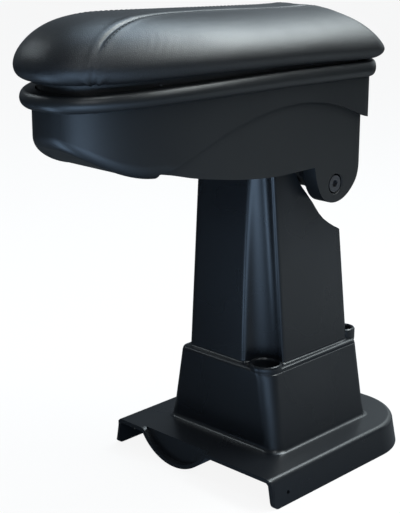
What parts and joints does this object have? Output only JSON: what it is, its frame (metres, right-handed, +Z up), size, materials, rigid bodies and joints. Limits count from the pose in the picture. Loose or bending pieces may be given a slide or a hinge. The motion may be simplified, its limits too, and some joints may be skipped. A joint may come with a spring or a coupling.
{
  "type": "car centre armrest",
  "caption": "Car centre armrest: a hinged padded lid over a boat-shaped storage tub that tilts on a tall moulded pedestal with a flanged foot.",
  "frame": {"origin": "middle of the whole object's box, at the height of the foot flanges' lower edges", "axes": "+X points to the arm's free end, +Y to the side that carries the two console screw wells, +Z up"},
  "size_m": [0.3028, 0.1576, 0.3298],
  "materials": {
    "gloss_black": "black moulded plastic with a soft gloss",
    "matt_black": "finely grained black plastic",
    "tub_black": "finely grained black plastic",
    "leatherette": "grained black leatherette, satin",
    "foam": "open grey foam",
    "board": "black fibre board",
    "mat_felt": "black felt",
    "steel": "plain steel",
    "black_steel": "blackened",
    "zinc": "zinc plated",
    "acetal": "natural bearing plastic",
    "rubber": "matt"
  },
  "bodies": {
    "pedestal": {"pedestal": "gloss_black", "hinge_bracket": "steel", "bracket_screws": "zinc", "stop_pad": "rubber", "pivot_bushes": "acetal", "spacer_sleeve": "steel"},
    "arm": {"hood": "matt_black", "pivot_bolt": "black_steel", "pivot_nut": "zinc", "pivot_washers": "zinc", "tub": "tub_black", "hood_screws": "zinc", "tub_mat": "mat_felt", "lid_hinge_pin": "steel", "lid_buffers": "rubber"},
    "lid": {"lid_base": "matt_black", "lid_screws": "zinc", "pad_board": "board", "foam_pad": "foam", "pad_cover": "leatherette"}
  },
  "joints": [
    {"name": "arm_tilt", "type": "hinge", "parent": "pedestal", "child": "arm", "pos_m": [-0.07725, 0, 0.204], "axis": [0, -1, 0], "range_deg": [0, 85]},
    {"name": "lid_open", "type": "hinge", "parent": "arm", "child": "lid", "pos_m": [-0.12665, 0, 0.2881], "axis": [0, -1, 0], "range_deg": [0, 70]}
  ]
}
